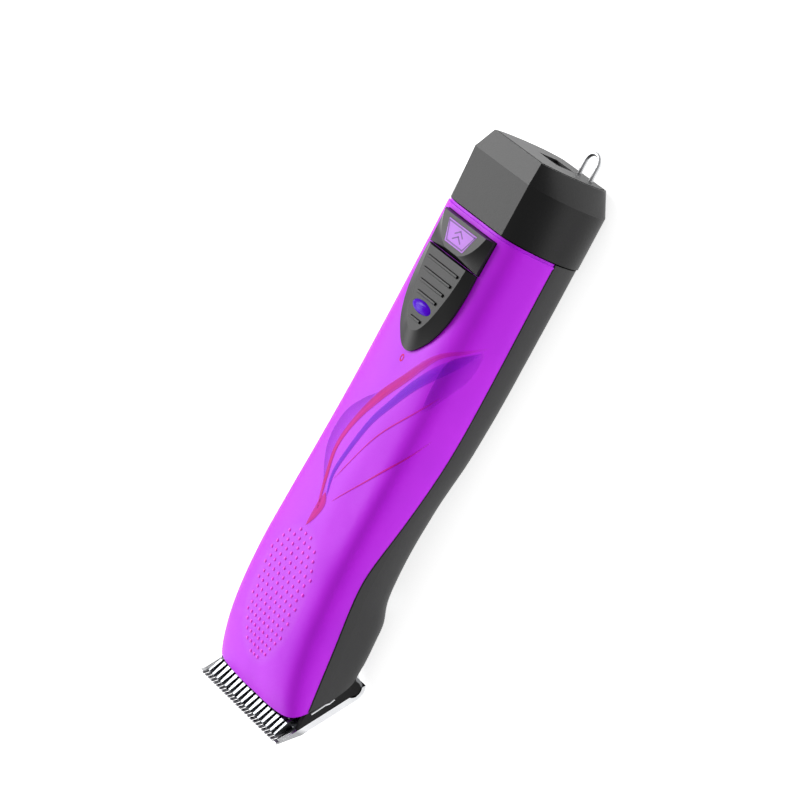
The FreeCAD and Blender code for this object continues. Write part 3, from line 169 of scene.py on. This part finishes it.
def toothed_chrome(name):
    """Bright chrome whose teeth get a dark base colour, a painted dark reflection."""
    material, tree, out = new_material(name)
    shader = shade(tree, out, 0.18, metallic=1.0)
    where = tree.nodes.new("ShaderNodeTexCoord")
    split = tree.nodes.new("ShaderNodeSeparateXYZ")
    tree.links.new(where.outputs["Object"], split.inputs[0])
    front = remap(tree, split.outputs["X"], TEETH_ROOT, TEETH_ROOT + 1.5 * MM, 1.0, 0.0)
    across = math_node(tree, "ABSOLUTE", split.outputs["Y"])
    inner = remap(tree, across, TEETH_SIDE, TEETH_SIDE + 0.4 * MM, 1.0, 0.6)
    # Mask of the teeth, where the painted dark reflection goes.
    dark_reflection_mask = math_node(tree, "MULTIPLY", front, inner)
    lines = noise(tree, 1.0, detail=3.0, stretch=BRUSHED_ACROSS)
    plate = ramp(tree, lines, [(0.3, srgb(206, 207, 209)), (0.7, srgb(228, 229, 231))])
    # Dark steel on the teeth: painted dark reflection of the surroundings.
    painted_dark_reflection = ramp(tree, lines, [(0.3, srgb(58, 58, 60)), (0.7, srgb(84, 84, 87))])
    tree.links.new(mix(tree, dark_reflection_mask, plate, painted_dark_reflection), shader.inputs["Base Color"])
    tree.links.new(bump(tree, lines, 0.3, BRUSH_DEPTH), shader.inputs["Normal"])
    return material


def grip_mask(tree):
    """1 inside the leaf-shaped grip patch near the head, fading to 0 over two millimetres."""
    where = tree.nodes.new("ShaderNodeTexCoord")
    split = tree.nodes.new("ShaderNodeSeparateXYZ")
    tree.links.new(where.outputs["Object"], split.inputs[0])
    x, y = split.outputs["X"], split.outputs["Y"]
    along = math_node(tree, "DIVIDE", math_node(tree, "SUBTRACT", x, GRIP_MIDDLE), GRIP_LONG)
    across = math_node(tree, "DIVIDE", y, GRIP_HALF)
    lengthwise = math_node(tree, "POWER", math_node(tree, "ABSOLUTE", along), GRIP_POWER)
    crosswise = math_node(tree, "POWER", math_node(tree, "ABSOLUTE", across), 2.0)
    reach = math_node(tree, "ADD", lengthwise, crosswise)
    return remap(tree, reach, 1.15, 0.9, 0.0, 1.0)


def violet_plastic(name):
    """The shell's satin violet, a little pinker and lighter on the grip patch."""
    material, tree, out = new_material(name)
    shader = shade(tree, out, 0.46, specular=0.34)
    cloud = noise(tree, 60.0)
    body = ramp(tree, cloud, [(0.3, srgb(202, 10, 250)), (0.7, srgb(210, 16, 255))])
    patch = ramp(tree, cloud, [(0.3, srgb(204, 40, 250)), (0.7, srgb(212, 48, 255))])
    tree.links.new(mix(tree, grip_mask(tree), body, patch), shader.inputs["Base Color"])
    tree.links.new(bump(tree, noise(tree, 1800.0, detail=2.0), 0.3, 0.015 * MM),
                   shader.inputs["Normal"])
    return material


def ink(name, rgb, second, opacity):
    """Printed translucent colour that thins out where the piece's fade value drops."""
    material, tree, out = new_material(name)
    shader = shade(tree, out, 0.5, specular=0.2)
    base = ramp(tree, noise(tree, 120.0), [(0.35, rgb), (0.65, second)])
    tree.links.new(base, shader.inputs["Base Color"])
    fade = tree.nodes.new("ShaderNodeAttribute")
    fade.attribute_name = "fade"
    clear = tree.nodes.new("ShaderNodeBsdfTransparent")
    blend = tree.nodes.new("ShaderNodeMixShader")
    tree.links.new(math_node(tree, "MULTIPLY", fade.outputs["Fac"], opacity),
                   blend.inputs["Fac"])
    tree.links.new(clear.outputs["BSDF"], blend.inputs[1])
    tree.links.new(shader.outputs["BSDF"], blend.inputs[2])
    tree.links.new(blend.outputs["Shader"], out.inputs["Surface"])
    return material


# ---------------------------------------------------------------- mesh helpers
def piece(name, points, faces, material, body, fades=None):
    """A new mesh that rides a body and takes the finish it is given."""
    mesh = bpy.data.meshes.new(name)
    mesh.from_pydata([tuple(p) for p in points], [], faces)
    mesh.update()
    for polygon in mesh.polygons:
        polygon.use_smooth = True
    if fades is not None:
        layer = mesh.attributes.new("fade", "FLOAT", "POINT")
        layer.data.foreach_set("value", fades)
    obj = bpy.data.objects.new(name, mesh)
    bpy.context.scene.collection.objects.link(obj)
    obj.data.materials.append(material)
    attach(obj, body)
    return obj


def grid_faces(rows, columns):
    return [(i * columns + j, i * columns + j + 1, (i + 1) * columns + j + 1,
             (i + 1) * columns + j) for i in range(rows - 1) for j in range(columns - 1)]


def curve(points, count):
    """Points along a smooth line through the given ones."""
    last = len(points) - 1
    found = []
    for k in range(count):
        t = k * last / (count - 1)
        i = min(int(t), last - 1)
        u = t - i
        p = [points[max(0, min(last, i + d))] for d in (-1, 0, 1, 2)]
        found.append(tuple(0.5 * (2 * b + (c - a) * u + (2 * a - 5 * b + 4 * c - d) * u * u
                                  + (3 * b - a - 3 * c + d) * u ** 3)
                           for a, b, c, d in zip(*p)))
    return found


# ---------------------------------------------------------------- the CAD frame
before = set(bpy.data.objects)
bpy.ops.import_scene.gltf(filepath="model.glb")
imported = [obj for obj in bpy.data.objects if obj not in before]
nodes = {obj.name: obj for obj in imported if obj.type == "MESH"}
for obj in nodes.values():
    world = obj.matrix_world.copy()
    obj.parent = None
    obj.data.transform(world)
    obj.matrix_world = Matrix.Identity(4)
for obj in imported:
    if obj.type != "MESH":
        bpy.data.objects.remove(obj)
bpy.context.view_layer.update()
shell = BVHTree.FromObject(nodes["upper_housing"], bpy.context.evaluated_depsgraph_get())


def on_shell(x, angle, lift=LIFT):
    """The point and outward normal on the shell at x mm, angle degrees from the top towards -Y."""
    turn = math.radians(angle)
    out = Vector((0, -math.sin(turn), math.cos(turn)))
    middle = Vector((x * MM, 0, AXIS_Z))
    hit, normal, _, _ = shell.ray_cast(middle + out * 0.06, -out)
    if normal.dot(out) < 0:
        normal = -normal
    return hit + normal * lift, normal


# ---------------------------------------------------------------- finishes
violet = violet_plastic("violet_shell")
charcoal = plastic("charcoal_shell", srgb(31, 31, 32), rough=0.5, grain=1600, depth=0.05)
battery_black = plastic("battery_shell", srgb(8, 8, 9), rough=0.4, grain=1900, depth=0.06,
                        specular=0.34)
switch_black = plastic("switch_plastic", srgb(9, 9, 10), rough=0.38, grain=2200, specular=0.34)
release_black = plastic("release_plastic", srgb(10, 10, 11), rough=0.38, grain=2200,
                        specular=0.42)
lens_glow = plastic("lens_violet", srgb(84, 0, 210), rough=0.16, grain=800, depth=0.0,
                    specular=0.08)
label_violet = plastic("label_violet", srgb(180, 90, 225), rough=0.35, grain=1500)
black_plastic = plastic("black_plastic", srgb(26, 26, 28), rough=0.5)
frame_black = plastic("frame_black", srgb(12, 12, 13), rough=0.6, specular=0.2)
blade_chrome = metal("blade_chrome", srgb(225, 226, 228), rough=0.16)
comb_chrome = toothed_chrome("comb_chrome")
cutter_steel = metal("cutter_steel", srgb(120, 122, 126), rough=0.25)
spring_steel = metal("spring_steel", srgb(222, 223, 225), rough=0.34, brush=(90, 90, 90))
zinc_steel = metal("zinc_steel", srgb(176, 178, 182), rough=0.32, brush=(70, 70, 300))
nylon = plastic("nylon_white", srgb(226, 224, 214), rough=0.5)
board = plastic("board_green", srgb(24, 92, 52), rough=0.35, spread=0.2)
copper = metal("contact_copper", srgb(214, 168, 96), rough=0.3)
cell_wrap = plastic("cell_wrap", srgb(40, 96, 168), rough=0.3, coat=0.4)
rubber = plastic("lead_rubber", srgb(150, 24, 22), rough=0.5)
dot_pink = plastic("grip_dot_pink", srgb(255, 46, 238), rough=0.4, grain=1800)
label_ink = plastic("label_ink", srgb(96, 8, 140), rough=0.4, grain=1800)
mark_ink = plastic("mark_ink", srgb(232, 0, 100), rough=0.5, grain=1800, specular=0.2)

FINISHES = {
    violet: ["upper_housing"],
    charcoal: ["lower_housing"],
    battery_black: ["battery_stick", "battery_cap"],
    switch_black: ["switch_slider"],
    release_black: ["release_button"],
    lens_glow: ["led_lens", "status_led"],
    label_violet: ["release_label"],
    frame_black: ["head_face_frame"],
    black_plastic: ["battery_end_plate", "motor_end_bell", "power_switch",
                    "board_components", "contact_block", "charge_socket", "latch_button",
                    "release_spring_seat", "blade_socket", "mechanism_frame"],
    comb_chrome: ["comb_plate"],
    blade_chrome: ["heel_curl", "hinge_tongue", "hinge_bracket"],
    cutter_steel: ["cutter_plate", "tension_spring"],
    spring_steel: ["hanging_loop", "blade_retaining_wires", "latch_spring", "release_springs",
                   "hinge_pin", "lever_pivot_pin", "eccentric_crank"],
    zinc_steel: ["housing_screws", "motor_screws", "hinge_screw", "blade_screws", "motor_can",
                 "motor_rotor", "motor_bearing", "crank_bearing", "lever_bushing"],
    nylon: ["drive_lever", "drive_tip", "cutter_guide"],
    board: ["circuit_board", "protection_board"],
    copper: ["body_contacts", "battery_contacts"],
    cell_wrap: ["battery_cells"],
    rubber: ["motor_leads"],
}
for finish, names in FINISHES.items():
    for name in names:
        mesh = nodes[name].data
        mesh.materials.clear()
        mesh.materials.append(finish)


# ---------------------------------------------------------------- grip dots
def grip_dots():
    """Staggered rows of low domes in a leaf-shaped patch."""
    points, faces = [], []
    pitch_x, pitch_y = 2.35, 2.7
    for row in range(-9, 10):
        x = GRIP_MIDDLE / MM + row * pitch_x
        for column in range(-6, 7):
            y = (column + 0.5 * (row % 2)) * pitch_y
            reach = abs(row * pitch_x * MM / GRIP_LONG) ** GRIP_POWER + (y * MM / GRIP_HALF) ** 2
            if reach > 0.94:
                continue
            base, normal = on_shell(x, math.degrees(math.atan2(-y, 13.0)), 0)
            add_dome(points, faces, base, normal, 0.55 * MM, 0.28 * MM)
    piece("grip_dots", points, faces, dot_pink, "housing")


def add_dome(points, faces, base, normal, radius, height):
    side = normal.orthogonal().normalized()
    other = normal.cross(side)
    first = len(points)
    rings, around = 4, 12
    for i in range(rings):
        angle = i * math.pi / 2 / rings
        for j in range(around):
            turn = 2 * math.pi * j / around
            flat = side * math.cos(turn) + other * math.sin(turn)
            points.append(base + flat * radius * math.cos(angle)
                          + normal * (height * math.sin(angle) - 0.02 * MM))
    points.append(base + normal * (height - 0.02 * MM))
    for i in range(rings - 1):
        for j in range(around):
            a, b = first + i * around + j, first + i * around + (j + 1) % around
            faces.append((a, b, b + around, a + around))
    top = first + rings * around
    last_ring = first + (rings - 1) * around
    for j in range(around):
        faces.append((last_ring + j, last_ring + (j + 1) % around, top))


# ---------------------------------------------------------------- printed ribbons
def ribbon(name, line, widths, material, fade_start, fade_end, lift=LIFT * 1.8):
    """A printed stroke along a line of (x, angle) places, widest where widths says."""
    count, across = 60, 7
    middle = curve(line, count)
    points, fades = [], []
    for k, (x, angle) in enumerate(middle):
        t = k / (count - 1)
        before, after = middle[max(0, k - 1)], middle[min(count - 1, k + 1)]
        dx, da = after[0] - before[0], (after[1] - before[1]) * MM_PER_DEGREE
        length = math.hypot(dx, da) or 1.0
        half = curve_value(widths, t) / 2
        for j in range(across):
            s = 2 * j / (across - 1) - 1
            point, _ = on_shell(x - s * half * da / length,
                                angle + s * half * dx / length / MM_PER_DEGREE, lift)
            points.append(point)
            ends = min(1.0, t / fade_start) * min(1.0, (1 - t) / fade_end)
            fades.append(ends * (1 - 0.35 * abs(s)))
    piece(name, points, grid_faces(count, across), material, "housing",
          fades=fades)


def curve_value(values, t):
    return curve([(v,) for v in values], 101)[round(t * 100)][0]


def leaf(name, left, right, material, lift=LIFT * 1.2):
    """A printed leaf between two lines of (x, angle) places, stronger at its left edge."""
    count, across = 60, 24
    one, two = curve(left, count), curve(right, count)
    points, fades = [], []
    for k in range(count):
        for j in range(across):
            s = j / (across - 1)
            x = one[k][0] * (1 - s) + two[k][0] * s
            angle = one[k][1] * (1 - s) + two[k][1] * s
            points.append(on_shell(x, angle, lift)[0])
            t = k / (count - 1)
            fades.append((1 - 0.65 * s) * min(1.0, 6 * t, 6 * (1 - t)))
    piece(name, points, grid_faces(count, across), material, "housing",
          fades=fades)


pink_ink = ink("pink_ink", srgb(226, 0, 142), srgb(230, 0, 172), 0.9)
violet_ink = ink("violet_ink", srgb(134, 0, 232), srgb(146, 0, 236), 0.8)
veil_ink = ink("veil_ink", srgb(160, 0, 206), srgb(168, 0, 220), 0.45)


def printed_swoosh():
    leaf("veil_left", [(-27, -8), (-17, -41), (-6, -44), (1, -29), (7, -3)],
         [(-27, -3), (-20, -24), (-9, -25), (-1, -14), (7, 0)], veil_ink)
    leaf("veil_right", [(8, 54), (17, 52), (25, 55), (31, 74)],
         [(9, 57), (16, 66), (23, 75), (31, 76)], veil_ink)
    ribbon("pink_ribbon", [(-31, -4), (-23, -18), (-14, -29), (-4, -21), (5, -3), (14, 23),
                           (24, 45), (29, 62), (33, 77)],
           [0.8, 1.3, 1.5, 2.0, 3.0, 2.6, 1.2, 0.8, 0.3], pink_ink, 0.02, 0.5)
    ribbon("violet_ribbon", [(-27, 0), (-20.5, -11), (-12.5, -7), (-2.5, 4), (6, 22),
                             (15.5, 41), (24, 58), (32, 75)],
           [0.5, 1.4, 1.8, 2.2, 2.4, 2.4, 2.2, 0.3], violet_ink, 0.05, 0.35)
    ribbon("fine_line_upper", [(-22, -6), (-7, 20), (5, 46), (15, 62)], [0.25, 0.35, 0.25],
           pink_ink, 0.1, 0.4)
    ribbon("fine_line_lower", [(-27, 12), (-17, 39), (-7, 57), (3, 72)], [0.25, 0.35, 0.25],
           pink_ink, 0.1, 0.4)
    ribbon("bud", [(-26, -6), (-29, -2), (-33, -4), (-37, -8)], [0.3, 3.4, 2.6, 0.2], pink_ink,
           0.05, 0.1)


def zero_mark():
    """The printed 0 beside the slider's off position."""
    points, fades = [], []
    around = 24
    for k in range(around):
        turn = 2 * math.pi * k / around
        for scale in (0.7, 1.12):
            x = ZERO_X + scale * math.cos(turn)
            y = 0.64 * scale * math.sin(turn)
            points.append(on_shell(x, math.degrees(math.atan2(-y, SHELL_TOP)), LIFT)[0])
            fades.append(1.0)
    faces = [(2 * k, 2 * k + 1, (2 * k + 3) % (2 * around), (2 * k + 2) % (2 * around))
             for k in range(around)]
    piece("zero_mark", points, faces, mark_ink, "housing", fades=fades)


def shell_seam():
    """A thin dark strip laid along the S-shaped line where the two shells meet: painted shade of
    the gap between them.
    """
    surface = bpy.context.evaluated_depsgraph_get()
    lower = BVHTree.FromObject(nodes["lower_housing"], surface)
    away, half, lift = 0.06, 0.2 * MM, 0.05 * MM

    def reach(tree, start, side):
        return tree.ray_cast(start, Vector((0, -side, 0)), away)[3] or away

    points, faces = [], []
    count = 150
    for side in (-1, 1):
        first = len(points)
        for k in range(count):
            x = (SEAM_FRONT + (SEAM_REAR - SEAM_FRONT) * k / (count - 1)) * MM
            low, high = 3.0 * MM, 20.0 * MM
            while high - low > 0.01 * MM:
                start = Vector((x, side * away, (low + high) / 2))
                if reach(shell, start, side) < reach(lower, start, side):
                    high = start.z
                else:
                    low = start.z
            for z in (low - half, high + half):
                start = Vector((x, side * away, z))
                depth = min(reach(shell, start, side), reach(lower, start, side)) - lift
                points.append(start - Vector((0, side * depth, 0)))
        for k in range(count - 1):
            a = first + 2 * k
            faces.append((a, a + 1, a + 3, a + 2) if side < 0 else (a, a + 2, a + 3, a + 1))
    # The strip is painted shade standing for the shadow in the gap between the shells.
    piece("seam_gap", points, faces, frame_black, "housing")


def label_outline():
    """A dark line just inside the label's edge and two chevrons that point at the pack."""
    face = BVHTree.FromObject(nodes["release_label"], bpy.context.evaluated_depsgraph_get())
    low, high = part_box("release_label")
    middle_x, middle_y = (low.x + high.x) / 2, (low.y + high.y) / 2
    corners = [v.co for v in nodes["release_label"].data.vertices]
    half = {x: max(abs(c.y - middle_y) for c in corners if abs(c.x - x) < 0.3 * MM)
            for x in (low.x, high.x)}
    inset = 0.55 * MM
    outline = [(low.x + inset, half[low.x] - inset), (high.x - inset, half[high.x] - inset)]
    loop = [Vector((x, y, 0)) for x, y in (outline[0], outline[1], (outline[1][0], -outline[1][1]),
                                           (outline[0][0], -outline[0][1]))]
    strokes = [(loop[i], loop[(i + 1) % 4]) for i in range(4)]
    wide = 0.42 * min(half.values())
    for shift in (-0.9 * MM, 0.7 * MM):
        tip = Vector((middle_x + shift + 0.9 * MM, 0, 0))
        strokes += [(Vector((middle_x + shift - 0.4 * MM, side * wide, 0)), tip)
                    for side in (-1, 1)]
    points, faces = [], []
    for start, end in strokes:
        add_stroke(points, faces, start, end, 0.2 * MM, face, middle_y, high.z)
    piece("label_print", points, faces, label_ink, "release")


def add_stroke(points, faces, start, end, half_width, face, middle_y, top):
    """A straight flat line laid on the label."""
    along = (end - start).normalized()
    side = Vector((-along.y, along.x, 0)) * half_width
    first = len(points)
    steps = 8
    for k in range(steps + 1):
        place = start - along * half_width + (end - start + along * 2 * half_width) * k / steps
        for edge in (-1, 1):
            flat = place + side * edge
            hit = face.ray_cast(Vector((flat.x, flat.y + middle_y, top + 5 * MM)),
                                Vector((0, 0, -1)))[0]
            points.append(Vector((flat.x, flat.y + middle_y, (hit.z if hit else top) + 0.03 * MM)))
    for k in range(steps):
        a = first + 2 * k
        faces.append((a, a + 1, a + 3, a + 2))


grip_dots()
printed_swoosh()
zero_mark()
shell_seam()
label_outline()


# ---------------------------------------------------------------- floor, light and camera
def pale_floor():
    material, tree, out = new_material("floor")
    shader = shade(tree, out, 0.8, specular=0.1)
    base = ramp(tree, noise(tree, 3.0), [(0.3, (0.90, 0.90, 0.90)), (0.7, (0.93, 0.93, 0.93))])
    tree.links.new(base, shader.inputs["Base Color"])
    tree.links.new(base, shader.inputs["Emission Color"])
    shader.inputs["Emission Strength"].default_value = 0.85
    mesh = bpy.data.meshes.new("floor")
    far = 3.0
    mesh.from_pydata([(-far, -far, 0), (far, -far, 0), (far, far, 0), (-far, far, 0)], [],
                     [(0, 1, 2, 3)])
    floor = bpy.data.objects.new("floor", mesh)
    floor.location.z = -0.1 * MM
    mesh.materials.append(material)
    bpy.context.scene.collection.objects.link(floor)


def area_light(name, place, target, width, height, power):
    data = bpy.data.lights.new(name, "AREA")
    data.shape = "RECTANGLE"
    data.size = width
    data.size_y = height
    data.energy = power
    lamp = bpy.data.objects.new(name, data)
    lamp.location = place
    lamp.rotation_euler = (Vector(place) - Vector(target)).to_track_quat("Z", "Y").to_euler()
    bpy.context.scene.collection.objects.link(lamp)


def set_light():
    world = bpy.data.worlds.new("studio")
    world.use_nodes = True
    world.node_tree.nodes["Background"].inputs["Color"].default_value = (1, 1, 1, 1)
    world.node_tree.nodes["Background"].inputs["Strength"].default_value = 0.4
    bpy.context.scene.world = world
    middle = (0, 0, 0.015)
    area_light("key", (-0.12, 0.86, 0.68), middle, 0.9, 0.5, 6.8)
    area_light("corner", (-0.80, 0.80, 0.42), middle, 0.7, 0.5, 2.6)
    area_light("rear", (0.42, 0.85, 0.70), middle, 0.4, 0.4, 4.6)
    bpy.context.scene.view_settings.view_transform = "Standard"


def set_camera():
    data = bpy.data.cameras.new("camera")
    camera = bpy.data.objects.new("camera", data)
    bpy.context.scene.collection.objects.link(camera)
    right = Vector((0.47462555, -0.51006143, -0.7173339))
    up = Vector((0.86455785, 0.42306035, 0.27121886))
    back = Vector((0.16513725, -0.74890405, 0.64177286))
    turn = Matrix((right, up, back)).transposed().to_4x4()
    camera.matrix_world = Matrix.Translation((0.22702, -0.99327, 0.84995)) @ turn
    data.lens = 214.0
    data.sensor_width = 36.0
    data.shift_x = -0.0759
    data.shift_y = 0.0199
    data.clip_start = 0.05
    data.clip_end = 20.0
    bpy.context.scene.camera = camera


pale_floor()
set_light()
set_camera()
